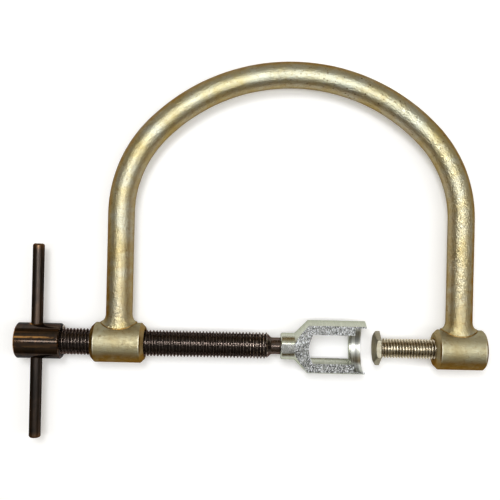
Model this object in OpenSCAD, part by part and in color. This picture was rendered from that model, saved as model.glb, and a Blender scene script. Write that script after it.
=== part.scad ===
// Valve spring compressor: a bent bar bow with a boss welded across each foot.
// A lead screw with a cross bar pushes the spring cage, and a hexagon bolt in
// the other boss is the anvil that holds the valve.
// The origin is on the screw axis, at the floor of the cage's retainer seat.
// +X runs along the screw to the anvil, +Y up to the crown of the bow, and +Z is
// the side that faces up when the tool lies on a bench. Sizes are in millimetres.

/* [Bow] */
// Diameter of the round bar
bar_d = 16; // [12:0.5:18]
// Distance between the two legs, centre to centre
bow_span = 205; // [195:1:210]
// Height of the bar's centreline at the crown, above the screw axis
bow_rise = 163.5; // [150:0.5:190]
// Bend radius of the two shoulders, to the bar's centreline
shoulder_r = 73; // [60:1:75]
// Bend radius of the crown, to the bar's centreline
crown_r = 114; // [108:1:130]
// How much the bar's radius draws down in the tighter shoulder bends
bend_draw = 0.03; // [0.02:0.01:0.3]

/* [Bosses and welds] */
// Outside diameter of both bosses
boss_d = 24; // [23:0.5:30]
// Length of the boss that carries the lead screw
screw_boss_len = 32; // [26:1:40]
// Length of the boss that carries the anvil bolt
anvil_boss_len = 30; // [26:1:40]
// Bevel on the ends of the screw boss and on the inner end of the anvil boss
boss_bevel = 2.3; // [1:0.1:3]
// Smaller bevel on the outer end of the anvil boss
outer_bevel = 1; // [0.4:0.1:2]
// Width of the weld collar round each foot, from the bar's surface
weld_leg = 3.2; // [2:0.1:4]
// Height of the weld collar above the crest of the boss
weld_rise = 5; // [4.5:0.1:8]
// Thickness of the collar's upper rim, where the weld runs out on the bar
weld_rim = 0.3; // [0.2:0.1:0.6]

/* [Lead screw] */
// Outside diameter of the screw's thread
screw_d = 16; // [14:0.5:18]
// Length of the thread, from the shoulder of the nose to the end in the head
screw_len = 136.7; // [130:0.1:170]
// Bevel on both ends of the thread
screw_bevel = 1; // [0.5:0.1:1.5]
// Diameter of the plain spigot on the nose
spigot_d = 10; // [8:0.1:10.4]
// Length of spigot that shows between the thread and the cage
neck_len = 6; // [2:0.5:10]

/* [Handle] */
// Diameter of the round head
head_d = 21.5; // [20:0.5:28]
// Length of the round head
head_len = 27; // [26:0.1:40]
// Depth of the hole in the head that takes the screw
head_bore_depth = 11; // [10:0.1:11.5]
// Bevel on both ends of the head
head_bevel = 0.8; // [0.4:0.1:1.5]
// Diameter of the cross bar
tommy_d = 7; // [6:0.1:7.5]
// Length of the cross bar
tommy_len = 117; // [80:1:160]
// Distance of the cross bar's axis from the head's outer end
tommy_inset = 11.6; // [9:0.1:11.9]
// Bevel on both ends of the cross bar
tommy_bevel = 0.9; // [0.3:0.1:1.5]
// Diameter of the key pin set in the joint between head and screw
key_d = 2.6; // [2:0.1:3]
// Length of the key pin
key_len = 9; // [6:0.5:9.5]

/* [Spring cage] */
// Diameter of the cage
cage_d = 32; // [31.5:0.1:36]
// Length of the cage from the end of its hub to the floor of the seat
cage_len = 43.8; // [43:0.1:55]
// Diameter of the hub
hub_d = 16; // [15.6:0.1:16.6]
// Length of the hub, before the cone
hub_len = 8.2; // [6:0.1:9]
// Bevel on the hub's free rim
hub_bevel = 0.6; // [0.6:0.1:1.2]
// Diameter of the bore
cage_bore_d = 23; // [20:0.1:24]
// Depth of the bore's straight wall, from the floor of the seat
cage_bore_depth = 24.8; // [15:0.1:26]
// Point angle of the drill that made the bore
drill_angle = 118; // [90:1:140]
// Diameter of the retainer seat
seat_d = 30.4; // [29:0.1:30.8]
// Depth of the retainer seat
seat_depth = 6.6; // [4:0.1:10]
// Thickness of the cage and its hub across the two milled flats
cage_flats = 15; // [14:0.1:15.4]
// Distance from the seat's floor to where the back flat stops
back_stop = 1; // [0.5:0.1:3]
// Turn of the cage about its axis as the tool is shown, in degrees
cage_turn = 5.5; // [-180:0.5:180]

/* [Swivel] */
// Depth of the socket in the hub
socket_depth = 8.6; // [7:0.1:8.8]
// End play of the spigot in the socket
end_play = 0.1; // [0.05:0.05:0.3]
// Wire diameter of the snap ring
wire_d = 1.2; // [0.8:0.1:1.4]
// Clearance of the snap ring in its grooves
ring_gap = 0.1; // [0.05:0.01:0.15]
// Opening of the snap ring, in degrees
ring_split = 30; // [15:1:60]

/* [Anvil bolt] */
// Outside diameter of the bolt's thread
bolt_d = 12; // [10:0.5:14]
// Length of the bolt under its head
bolt_len = 60; // [50:1:62]
// Width of the hexagon head across its flats
hex_flats = 18; // [17:0.5:22]
// Thickness of the hexagon head
hex_t = 3.6; // [3:0.1:8]
// Turn of the hexagon about the bolt's axis, in degrees
hex_turn = 28; // [-30:1:30]
// Bevel on the tip of the bolt
bolt_bevel = 1.2; // [0.5:0.1:2]
// Gap between the cage and the anvil as the tool is shown
jaw_gap = 5.7; // [5.5:0.1:40]
// Length of thread that shows between the head and its boss
bolt_reach = 32.6; // [31:0.1:40]

/* [Fits] */
// Radial clearance of a thread or spigot that turns in its hole
running_gap = 0.05; // [0.02:0.01:0.1]
// Radial clearance of a piece that is fixed in its hole
fixed_gap = 0.01; // [0.005:0.005:0.02]

/* [Hidden] */
$fn = 64;
bar_r = bar_d / 2;
boss_r = boss_d / 2;

// Stations along the screw axis, from the seat's floor
cage_end_x = seat_depth;
hub_end_x = -cage_len;
cone_start_x = hub_end_x + hub_len;
cone_end_x = cone_start_x + (cage_d - hub_d) / 2;
socket_end_x = hub_end_x + socket_depth;
ring_x = hub_end_x + socket_depth / 2;
thread_end_x = hub_end_x - neck_len;
screw_start_x = thread_end_x - screw_len;
head_face_x = screw_start_x + head_bore_depth;
head_end_x = head_face_x - head_len;
tommy_x = head_end_x + tommy_inset;
anvil_face_x = cage_end_x + jaw_gap;
hex_back_x = anvil_face_x + hex_t;
anvil_boss_face_x = hex_back_x + bolt_reach;
anvil_leg_x = anvil_boss_face_x + anvil_boss_len / 2;
screw_leg_x = anvil_leg_x - bow_span;

// Bow: the crown's arc meets each shoulder's arc where their centres line up
bow_x = (anvil_leg_x + screw_leg_x) / 2;
shoulder_x = bow_span / 2 - shoulder_r;
crown_y = bow_rise - crown_r;
shoulder_y = crown_y + sqrt(pow(crown_r - shoulder_r, 2) - pow(shoulder_x, 2));
bend_angle = atan2(shoulder_y - crown_y, shoulder_x);
// Each drawn shoulder runs on a little way inside the full bar at both its ends
lap_len = 0.5;
lap_angle = lap_len / shoulder_r * 180 / PI;

// Swivel: the ring's wire is centred between the spigot and its socket
spigot_r = spigot_d / 2;
socket_r = spigot_r + running_gap;
wire_r = wire_d / 2;
ring_r = (spigot_r + socket_r) / 2;
groove_half = wire_r + ring_gap;
drill_point = cage_bore_d / 2 / tan(drill_angle / 2);
flat_z = cage_flats / 2;
cut_margin = 1;

gold = "#b9a36a";
black = "#1f1f20";
zinc = "#c9ccc6";
nickel = "#b7ac98";

// Lays a shape made on the Z axis along +X
module along_x() {
    rotate([0, 90, 0]) children();
}

// Stands a shape made on the Z axis along +Y
module along_y() {
    rotate([-90, 0, 0]) children();
}

// A plain round bar on the X axis from one station to another
module rod_x(from_x, to_x, r) {
    translate([from_x, 0, 0]) along_x() cylinder(r = r, h = to_x - from_x);
}

// A tube on the X axis with a bevel on each end
module boss(from_x, len, hole_r, from_bevel, to_bevel) {
    translate([from_x, 0, 0]) along_x() rotate_extrude() polygon([
        [hole_r, 0],
        [boss_r - from_bevel, 0],
        [boss_r, from_bevel],
        [boss_r, len - to_bevel],
        [boss_r - to_bevel, len],
        [hole_r, len]
    ]);
}

// A stretch of the bar bent about a centre in the bow's plane
module bend(centre, r, from_angle, to_angle, section_r) {
    translate(centre) rotate([0, 0, from_angle])
        rotate_extrude(angle = to_angle - from_angle) translate([r, 0]) circle(r = section_r);
}

// One shoulder, turning from an upright leg over to the crown
module shoulder() {
    bend([shoulder_x, shoulder_y, 0], shoulder_r,
         -lap_angle, bend_angle + lap_angle, bar_r - bend_draw);
}

// A concave weld collar round the foot of the leg at a station
module weld_collar(leg_x, boss_len) {
    top_y = boss_r + weld_rise;
    difference() {
        translate([leg_x, 0, 0]) along_y() cylinder(r = bar_r + weld_leg, h = top_y);
        translate([leg_x, top_y, 0]) along_y() rotate_extrude()
            translate([bar_r + weld_leg + weld_rim, 0]) circle(r = weld_leg);
        translate([leg_x, -cut_margin, 0]) along_y()
            cylinder(r = bar_r, h = top_y + 2 * cut_margin);
        rod_x(leg_x - boss_len / 2, leg_x + boss_len / 2, boss_r);
    }
}

// The space of the key pin, half in the screw and half in the head
module key_space(gap) {
    translate([0, screw_d / 2, 0]) rod_x(head_face_x - key_len, head_face_x, key_d / 2 + gap);
}

module bow_rod() {
    color(gold) difference() {
        union() {
            for (leg_x = [screw_leg_x, anvil_leg_x])
                translate([leg_x, 0, 0]) along_y() cylinder(r = bar_r, h = shoulder_y);
            bend([bow_x, crown_y, 0], crown_r, bend_angle, 180 - bend_angle, bar_r);
            translate([bow_x, 0, 0]) shoulder();
            translate([bow_x, 0, 0]) mirror([1, 0, 0]) shoulder();
        }
        rod_x(screw_leg_x - screw_boss_len / 2, screw_leg_x + screw_boss_len / 2, boss_r);
        rod_x(anvil_leg_x - anvil_boss_len / 2, anvil_leg_x + anvil_boss_len / 2, boss_r);
    }
}

module screw_boss() {
    color(gold) boss(screw_leg_x - screw_boss_len / 2, screw_boss_len,
                     screw_d / 2 + running_gap, boss_bevel, boss_bevel);
}

module screw_boss_weld() {
    color(gold) weld_collar(screw_leg_x, screw_boss_len);
}

module anvil_boss() {
    color(gold) boss(anvil_boss_face_x, anvil_boss_len,
                     bolt_d / 2 + running_gap, boss_bevel, outer_bevel);
}

module anvil_boss_weld() {
    color(gold) weld_collar(anvil_leg_x, anvil_boss_len);
}

module lead_screw() {
    nose_x = socket_end_x - end_play;
    color(black) difference() {
        along_x() rotate_extrude() polygon([
            [0, screw_start_x],
            [screw_d / 2 - screw_bevel, screw_start_x],
            [screw_d / 2, screw_start_x + screw_bevel],
            [screw_d / 2, thread_end_x - screw_bevel],
            [screw_d / 2 - screw_bevel, thread_end_x],
            [spigot_r, thread_end_x],
            [spigot_r, ring_x - groove_half],
            [ring_r - groove_half, ring_x - groove_half],
            [ring_r - groove_half, ring_x + groove_half],
            [spigot_r, ring_x + groove_half],
            [spigot_r, nose_x - screw_bevel],
            [spigot_r - screw_bevel, nose_x],
            [0, nose_x]
        ]);
        key_space(fixed_gap);
    }
}

module handle_head() {
    color(black) difference() {
        along_x() rotate_extrude() polygon([
            [0, head_end_x],
            [head_d / 2 - head_bevel, head_end_x],
            [head_d / 2, head_end_x + head_bevel],
            [head_d / 2, head_face_x - head_bevel],
            [head_d / 2 - head_bevel, head_face_x],
            [screw_d / 2 + fixed_gap, head_face_x],
            [screw_d / 2 + fixed_gap, screw_start_x],
            [0, screw_start_x]
        ]);
        translate([tommy_x, -head_d, 0]) along_y()
            cylinder(r = tommy_d / 2 + fixed_gap, h = 2 * head_d);
        key_space(fixed_gap);
    }
}

module head_key() {
    color(black) key_space(0);
}

module tommy_bar() {
    color(black) translate([tommy_x, -tommy_len / 2, 0]) along_y() rotate_extrude() polygon([
        [0, 0],
        [tommy_d / 2 - tommy_bevel, 0],
        [tommy_d / 2, tommy_bevel],
        [tommy_d / 2, tommy_len - tommy_bevel],
        [tommy_d / 2 - tommy_bevel, tommy_len],
        [0, tommy_len]
    ]);
}

module swivel_ring() {
    color(zinc) translate([ring_x, 0, 0]) along_x()
        rotate_extrude(angle = 360 - ring_split) translate([ring_r, 0]) circle(r = wire_r);
}

module spring_cage() {
    flat_len = cage_end_x - hub_end_x + 2 * cut_margin;
    back_len = -back_stop - hub_end_x + cut_margin;
    color(zinc) rotate([cage_turn, 0, 0]) difference() {
        along_x() rotate_extrude() polygon([
            [socket_r, hub_end_x],
            [hub_d / 2 - hub_bevel, hub_end_x],
            [hub_d / 2, hub_end_x + hub_bevel],
            [hub_d / 2, cone_start_x],
            [cage_d / 2, cone_end_x],
            [cage_d / 2, cage_end_x],
            [seat_d / 2, cage_end_x],
            [seat_d / 2, 0],
            [cage_bore_d / 2, 0],
            [cage_bore_d / 2, -cage_bore_depth],
            [0, -cage_bore_depth - drill_point],
            [0, socket_end_x],
            [socket_r, socket_end_x],
            [socket_r, ring_x + groove_half],
            [ring_r + groove_half, ring_x + groove_half],
            [ring_r + groove_half, ring_x - groove_half],
            [socket_r, ring_x - groove_half]
        ]);
        translate([hub_end_x - cut_margin, -cage_d, flat_z])
            cube([flat_len, 2 * cage_d, cage_d]);
        translate([hub_end_x - cut_margin, -cage_d, -flat_z - cage_d])
            cube([back_len, 2 * cage_d, cage_d]);
    }
}

module anvil_bolt() {
    bolt_r = bolt_d / 2;
    hex_corner_r = hex_flats / 2 / cos(30);
    crown_bevel = (hex_corner_r - hex_flats / 2) / sqrt(3);
    shank_x = anvil_face_x + hex_t / 2;
    tip_x = hex_back_x + bolt_len;
    color(nickel) union() {
        intersection() {
            translate([anvil_face_x, 0, 0]) rotate([hex_turn, 0, 0]) along_x()
                cylinder(r = hex_corner_r, h = hex_t, $fn = 6);
            along_x() rotate_extrude() polygon([
                [0, anvil_face_x],
                [hex_flats / 2, anvil_face_x],
                [hex_corner_r + cut_margin, anvil_face_x + crown_bevel + cut_margin / sqrt(3)],
                [hex_corner_r + cut_margin, hex_back_x],
                [0, hex_back_x]
            ]);
        }
        along_x() rotate_extrude() polygon([
            [0, shank_x],
            [bolt_r, shank_x],
            [bolt_r, tip_x - bolt_bevel],
            [bolt_r - bolt_bevel, tip_x],
            [0, tip_x]
        ]);
    }
}

bow_rod();
screw_boss();
screw_boss_weld();
anvil_boss();
anvil_boss_weld();
lead_screw();
handle_head();
head_key();
tommy_bar();
swivel_ring();
spring_cage();
anvil_bolt();
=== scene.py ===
# Valve spring compressor: the visible pieces, their finishes and a plain studio.
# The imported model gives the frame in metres. The origin is at the floor of the cage's seat,
# +X runs along the screw to the anvil, +Y up to the bow's crown, and +Z faces the camera.
import math

import bmesh
import bpy
import numpy as np
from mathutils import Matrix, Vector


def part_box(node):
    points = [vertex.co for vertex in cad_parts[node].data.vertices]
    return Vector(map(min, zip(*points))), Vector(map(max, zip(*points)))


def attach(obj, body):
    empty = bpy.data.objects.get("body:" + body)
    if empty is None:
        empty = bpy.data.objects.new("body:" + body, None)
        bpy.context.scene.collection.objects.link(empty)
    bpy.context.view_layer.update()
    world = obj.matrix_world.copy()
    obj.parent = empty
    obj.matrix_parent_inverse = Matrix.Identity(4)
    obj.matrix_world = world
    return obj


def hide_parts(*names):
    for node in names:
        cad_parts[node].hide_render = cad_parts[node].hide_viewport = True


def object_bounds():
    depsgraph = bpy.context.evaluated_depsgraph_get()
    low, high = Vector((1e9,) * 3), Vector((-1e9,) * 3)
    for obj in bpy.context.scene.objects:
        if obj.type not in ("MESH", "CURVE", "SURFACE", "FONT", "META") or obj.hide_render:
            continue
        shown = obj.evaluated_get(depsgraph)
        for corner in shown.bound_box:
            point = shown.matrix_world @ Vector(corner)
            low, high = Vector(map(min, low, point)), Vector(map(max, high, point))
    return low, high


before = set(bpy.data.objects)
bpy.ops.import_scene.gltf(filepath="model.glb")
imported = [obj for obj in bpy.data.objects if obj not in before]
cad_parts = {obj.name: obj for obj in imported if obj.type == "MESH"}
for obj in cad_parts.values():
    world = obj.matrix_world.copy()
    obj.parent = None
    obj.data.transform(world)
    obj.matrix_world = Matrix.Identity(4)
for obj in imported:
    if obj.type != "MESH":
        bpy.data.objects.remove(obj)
cad_low, cad_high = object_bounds()


# Bow bar
# One length of round steel bar, bent cold into two legs, two shoulders and a flatter crown.
# It is plated a pale gold that has browned in places, and its feet are welded to the bosses.
bow_low, bow_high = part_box("bow_rod")
bar_radius = bow_high.z
left_leg_x = bow_low.x + bar_radius
right_leg_x = bow_high.x - bar_radius
bow_x = (left_leg_x + right_leg_x) / 2
half_span = (right_leg_x - left_leg_x) / 2
crown_y = bow_high.y - bar_radius
foot_y = 0.0085
shoulder_bend = 0.073
crown_bend = 0.114
bar_clearance = 0.00005
bar_waver = 0.00004
# Shares of painted shade on the bar's outer and inner flanks.
outer_flank_shade = 0.5
inner_flank_shade = 0.34
foot_brown = 0.23
# The mark's value for a painted highlight on an edge.
edge_highlight = -0.5


def quads(number):
    """Four-sided faces over a grid of point numbers: each face joins a point to the next one
    in its row and to the same two in the next row."""
    corners = [number[:-1, :-1], number[:-1, 1:], number[1:, 1:], number[1:, :-1]]
    return np.stack(corners, axis=-1).reshape(-1, 4)


def ringed(rows, columns):
    """The numbers of a grid's points, with each row closed into a ring."""
    number = np.arange(rows * columns).reshape(rows, columns)
    return np.hstack([number, number[:, :1]])


def skin(name, points, light_and_tone=None, close_rows=False, crease=38):
    """A piece over a grid of points whose rows are rings. Where a profile comes back to its
    start, the last ring is joined to the first."""
    number = ringed(*points.shape[:2])
    if close_rows:
        number = np.vstack([number, number[:1]])
    return piece_of(name, points.reshape(-1, 3), quads(number), light_and_tone, crease)


def piece_of(name, places, faces, light_and_tone=None, crease=38):
    """A linked piece from its points and faces. Doubled points, as at a pole, are merged, and all
    faces are turned outwards. Its mark of painted light and tone is one number for each point:
    -0.5 is a painted highlight, 0 is clean and 1 is dark painted shade, with painted shade and a
    brown tone in between."""
    mesh = bpy.data.meshes.new(name)
    mesh.from_pydata(places.tolist(), [], faces.tolist())
    # Each point's mark of painted highlight, painted shade and brown tone.
    if light_and_tone is not None:
        light_and_tone_marks = mesh.attributes.new("light_and_tone", "FLOAT", "POINT")
        light_and_tone_marks.data.foreach_set("value", np.ascontiguousarray(light_and_tone, dtype=np.float32).ravel())
    work = bmesh.new()
    work.from_mesh(mesh)
    bmesh.ops.remove_doubles(work, verts=work.verts, dist=1e-7)
    bmesh.ops.dissolve_degenerate(work, edges=work.edges, dist=1e-8)
    bmesh.ops.recalc_face_normals(work, faces=work.faces)
    work.to_mesh(mesh)
    work.free()
    smooth_below(mesh, crease)
    piece = bpy.data.objects.new(name, mesh)
    bpy.context.scene.collection.objects.link(piece)
    return piece


def smooth_below(mesh, crease):
    """Shades a mesh smooth, except at edges sharper than the crease in degrees."""
    mesh.polygons.foreach_set("use_smooth", np.ones(len(mesh.polygons), dtype=bool))
    mesh.set_sharp_from_angle(angle=math.radians(crease))


def bow_centreline(count):
    """Points of the bar's centreline and the outward direction at each, evenly spaced.
    Half of the bow is a straight leg, an arc of the shoulder's bend and an arc of the crown's
    bend that meet where their centres line up; the other half is its mirror image."""
    shoulder_out = half_span - shoulder_bend
    crown_centre = crown_y - crown_bend
    shoulder_up = math.sqrt((crown_bend - shoulder_bend) ** 2 - shoulder_out ** 2)
    turn = math.atan2(shoulder_up, shoulder_out)
    leg = crown_centre + shoulder_up - foot_y
    shoulder = shoulder_bend * turn
    half = leg + shoulder + crown_bend * (math.pi / 2 - turn)
    along = np.linspace(0, 2 * half, count)
    near = np.minimum(along, 2 * half - along)
    side = np.where(along > half, -1.0, 1.0)
    on_shoulder = np.clip((near - leg) / shoulder_bend, 0, turn)
    on_crown = np.clip((near - leg - shoulder) / crown_bend, 0, None)
    angle = on_shoulder + on_crown
    in_crown = on_crown > 0
    bend = np.where(in_crown, crown_bend, shoulder_bend)
    out = np.where(in_crown, 0.0, shoulder_out) + bend * np.cos(angle)
    up = np.where(in_crown, crown_centre, crown_centre + shoulder_up) + bend * np.sin(angle)
    up = up - np.clip(leg - near, 0, None)
    centre = np.stack([bow_x + side * out, up, np.zeros(count)], axis=-1)
    outward = np.stack([side * np.cos(angle), np.sin(angle), np.zeros(count)], axis=-1)
    return centre, outward


def bow_bar_points(rows, columns):
    """The bar's surface: its centreline plus the bar's radius round it, and closed ends.
    The radius wavers by a few hundredths of a millimetre, as a bent and tumbled bar does."""
    centre, outward = bow_centreline(rows)
    along = np.linspace(0, 1, rows)[:, None]
    angle = np.linspace(0, 2 * np.pi, columns, endpoint=False)[None, :]
    waver = 0.4 * np.sin(61 * along + 2 * angle) + 0.3 * np.sin(143 * along - angle)
    radius = bar_radius - bar_clearance + bar_waver * waver
    upward = np.array([0.0, 0.0, 1.0])
    ring = np.cos(angle)[..., None] * outward[:, None, :] + np.sin(angle)[..., None] * upward
    tube = centre[:, None, :] + radius[..., None] * ring
    first = np.repeat(centre[:1, None, :], columns, axis=1)
    last = np.repeat(centre[-1:, None, :], columns, axis=1)
    return np.concatenate([first, tube, last])


def flank_shading(height, outward):
    """Painted shade on the flanks, more on the bow's outer one. It grows from nought where a
    point's height above the bow's plane is nine tenths of the bar's radius, and is full at seven
    tenths and below."""
    flank = np.clip((0.9 - np.abs(height) / bar_radius) / 0.2, 0, 1)
    return flank * np.where(outward > 0, outer_flank_shade, inner_flank_shade)


def bow_shade_and_tone(points):
    """Painted shade along the bar's flanks, a fifth less at the crown, and a light brown all
    round the legs, which fades from the foot's amount to nought at the crown."""
    middle = points.mean(axis=1, keepdims=True)
    outward = points[:, :1, :] - middle
    length = np.maximum(np.linalg.norm(outward, axis=-1, keepdims=True), 1e-9)
    lean = ((points - middle) * outward / length).sum(axis=-1) / bar_radius
    rise = middle[..., 1] / crown_y
    on_leg = np.clip(1.25 - rise, 0.8, 1)
    all_round = foot_brown * np.clip(1 - rise, 0, 1)
    return np.maximum(flank_shading(points[..., 2], lean) * on_leg, all_round)


def new_finish(name):
    """An empty material: its node tree, its shader and the piece's own coordinates."""
    material = bpy.data.materials.new(name)
    material.use_nodes = True
    tree = material.node_tree
    place = tree.nodes.new("ShaderNodeTexCoord").outputs["Object"]
    return material, tree, tree.nodes["Principled BSDF"], place


def feed(tree, socket, value):
    """Links a socket to another node's output, or sets it to a plain value."""
    if isinstance(value, bpy.types.NodeSocket):
        tree.links.new(value, socket)
    else:
        socket.default_value = value


def cloudy(tree, place, scale, detail=3.0, rough=0.55, drawn=0.0):
    """Soft random clouds, about one over the scale in metres across. More detail and more
    roughness break them up, and drawing pulls them out of shape."""
    node = tree.nodes.new("ShaderNodeTexNoise")
    feed(tree, node.inputs["Vector"], place)
    node.inputs["Scale"].default_value = scale
    node.inputs["Detail"].default_value = detail
    node.inputs["Roughness"].default_value = rough
    node.inputs["Distortion"].default_value = drawn
    return node.outputs["Fac"]


def graded(tree, value, low, high, bottom=0.0, top=1.0):
    """A value stretched so that low gives bottom and high gives top, and held there."""
    node = tree.nodes.new("ShaderNodeMapRange")
    feed(tree, node.inputs["Value"], value)
    node.inputs["From Min"].default_value = low
    node.inputs["From Max"].default_value = high
    node.inputs["To Min"].default_value = bottom
    node.inputs["To Max"].default_value = top
    return node.outputs["Result"]


def patches(tree, place, scale, low, high, bottom=0.0, top=1.0, **texture):
    """Random clouds stretched so that low gives bottom and high gives top."""
    cloud = cloudy(tree, place, scale, **texture)
    return graded(tree, cloud, low, high, bottom, top)


def reckon(tree, operation, first, second=0.0):
    """One sum on two values, or on the first alone where the sum needs no other."""
    node = tree.nodes.new("ShaderNodeMath")
    node.operation = operation
    feed(tree, node.inputs[0], first)
    feed(tree, node.inputs[1], second)
    return node.outputs[0]


def where_all(tree, first, *others):
    """The share where several shares hold at once: their product."""
    share = first
    for other in others:
        share = reckon(tree, "MULTIPLY", share, other)
    return share


def axes_of(tree, place):
    """A place taken apart into its X, Y and Z."""
    node = tree.nodes.new("ShaderNodeSeparateXYZ")
    feed(tree, node.inputs["Vector"], place)
    return node.outputs


def cells(tree, place, scale):
    """A random pattern of cells: the distance from each cell's dot, and each cell's colour."""
    node = tree.nodes.new("ShaderNodeTexVoronoi")
    feed(tree, node.inputs["Vector"], place)
    node.inputs["Scale"].default_value = scale
    return node.outputs


def painted(tree, share, under, over):
    """One colour over another, by a share from 0 to 1."""
    node = tree.nodes.new("ShaderNodeMix")
    node.data_type = "RGBA"
    feed(tree, node.inputs[0], share)
    feed(tree, node.inputs[6], under)
    feed(tree, node.inputs[7], over)
    return node.outputs[2]


def raised(tree, height, depth, under=None):
    """A bump of the given depth in metres, on top of another bump where there is one."""
    node = tree.nodes.new("ShaderNodeBump")
    node.inputs["Distance"].default_value = depth
    node.inputs["Strength"].default_value = 1.0
    feed(tree, node.inputs["Height"], height)
    if under is not None:
        feed(tree, node.inputs["Normal"], under)
    return node.outputs["Normal"]


def own_light_and_tone(tree):
    """The mark of painted light and tone that is kept on the piece's points."""
    node = tree.nodes.new("ShaderNodeAttribute")
    node.attribute_name = "light_and_tone"
    return node.outputs["Fac"]


def painted_light_and_tone(tree, place, colour, shade, low=0.0, high=1.0):
    """A shade over a colour, in soft patches, as the piece's mark of painted light and tone goes
    from low to high: a painted highlight, painted shade or a brown tone.
    """
    depth = graded(tree, own_light_and_tone(tree), low, high)
    patch = patches(tree, place, 240, 0.25, 0.6, 0.55, 1.0)
    return painted(tree, where_all(tree, depth, patch), colour, shade)


def pitted(tree, place, colour, shade, most):
    """Small dark pits at random, more on the anvil's half of the bow and thick in some patches.
    Each cell of a random pattern holds one dot, which shows where it lies near the surface."""
    dot = graded(tree, cells(tree, place, 300)["Distance"], 0.12, 0.2, 1.0, 0.0)
    patch = patches(tree, place, 40, 0.42, 0.55, 0.15, 1.0, detail=2)
    along = axes_of(tree, place)["X"]
    half = graded(tree, along, bow_x - 0.02, bow_x + 0.04, 0.1 * most, most)
    return painted(tree, where_all(tree, dot, patch, half), colour, shade)


def metal(tree, shader, colour, matt, bumps=None, glance=(1, 1, 1, 1), share=1.0):
    """Sets a metal's colour, roughness and bumps, its tint at a glancing angle, and how much
    of a metal it is."""
    feed(tree, shader.inputs["Base Color"], colour)
    feed(tree, shader.inputs["Roughness"], matt)
    if bumps is not None:
        feed(tree, shader.inputs["Normal"], bumps)
    shader.inputs["Specular Tint"].default_value = glance
    shader.inputs["Metallic"].default_value = share


def gold_plate(name, pale, tan, gloss, grain, most_pits):
    """Dulled gold plate: tan clouds and dark specks on a pale gold, with a fine grain. Its mark
    of painted light and tone runs from -0.5, a painted highlight on an edge, through 0, clean,
    and 0.5, painted brown shade on the flanks and a brown tone on the legs, to 1, dark painted
    shade in creases, along bevel edges and in holes."""
    speck = (0.2, 0.13, 0.05, 1)
    wear_and_highlight = (0.72, 0.7, 0.58, 1)
    brown = (0.28, 0.168, 0.045, 1)
    dark = (0.13, 0.075, 0.02, 1)
    pit = (0.1, 0.065, 0.03, 1)
    material, tree, shader, place = new_finish(name)
    cloud = patches(tree, place, 55, 0.36, 0.68, detail=5, rough=0.62, drawn=0.4)
    colour = painted(tree, cloud, pale, tan)
    specks = patches(tree, place, 520, 0.56, 0.7, 0.0, 0.6, detail=4, rough=0.7)
    colour = painted(tree, specks, colour, speck)
    # A painted highlight on edges, then painted shade and brown tone, then dark painted shade in
    # creases and holes.
    colour = painted_light_and_tone(tree, place, colour, wear_and_highlight, 0.0, edge_highlight)
    colour = painted_light_and_tone(tree, place, colour, brown, 0.0, 0.5)
    colour = painted_light_and_tone(tree, place, colour, dark, 0.5, 1.0)
    colour = pitted(tree, place, colour, pit, most_pits)
    matt = patches(tree, place, 420, 0.3, 0.7, gloss - 0.06, gloss + 0.1)
    dents = raised(tree, cloudy(tree, place, 480, detail=2), grain * 0.6)
    bumps = raised(tree, cloudy(tree, place, 1100, rough=0.6), grain, dents)
    metal(tree, shader, colour, matt, bumps, glance=(0.26, 0.19, 0.11, 1))
    return material


bar_pale = (0.455, 0.475, 0.4, 1)
bar_tan = (0.42, 0.365, 0.18, 1)
bar_gold = gold_plate("bar_gold", bar_pale, bar_tan, gloss=0.35, grain=0.00035, most_pits=0.9)
bow_grid = bow_bar_points(rows=230, columns=56)
bow_bar = skin("bow_bar", bow_grid, bow_shade_and_tone(bow_grid))
bow_bar.data.materials.append(bar_gold)
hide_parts("bow_rod")
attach(bow_bar, "frame")


# Screw boss and anvil boss
# Two short turned steel tubes, welded across the feet of the bow and tapped right through.
# Their ends are bevelled, and the same gold plate lies duller on the turned faces.
screw_boss_low, screw_boss_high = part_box("screw_boss")
anvil_boss_low, anvil_boss_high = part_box("anvil_boss")
screw_hole = 0.00805
bolt_hole = 0.00605
wide_bevel = 0.0023
small_bevel = 0.001
boss_ease = 0.0004
mouth_width = 0.0012
# Bounds of a line of painted shade where each bevel starts, and of a painted highlight on the
# edge beside it.
shade_line_start = 0.0009
shade_line_end = 0.0006
shade_line_width = 0.0007
edge_end = 0.0008
edge_width = 0.0004
hair = 0.00001
# Painted shade on the bosses' lower flanks.
boss_flank_shade = 0.6


def curved(share, start, pull, finish):
    """A parabola from start to finish, drawn towards a pulling point: the three are added up
    by the square of what is left, twice the product and the square of the share."""
    return (1 - share) ** 2 * start + 2 * share * (1 - share) * pull + share ** 2 * finish


def eased(corners, radius, steps=5):
    """Rounds each inner corner of a profile: the curve leaves one side and meets the other
    at the radius's tangent points, and in between follows a parabola under the corner."""
    corners = np.asarray(corners, float)
    corner = corners[1:-1]
    back = corners[:-2] - corner
    ahead = corners[2:] - corner
    back_length = np.linalg.norm(back, axis=1)
    ahead_length = np.linalg.norm(ahead, axis=1)
    back = back / back_length[:, None]
    ahead = ahead / ahead_length[:, None]
    half_angle = 0.5 * np.arccos(np.clip((back * ahead).sum(axis=1), -1, 1))
    room = 0.45 * np.minimum(back_length, ahead_length)
    reach = np.minimum(radius / np.tan(half_angle), room)[:, None]
    start = (corner + back * reach)[:, None, :]
    finish = (corner + ahead * reach)[:, None, :]
    share = np.linspace(0, 1, steps + 1)[None, :, None]
    bend = curved(share, start, corner[:, None, :], finish)
    return np.concatenate([corners[:1], bend.reshape(-1, 2), corners[-1:]])


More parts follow.
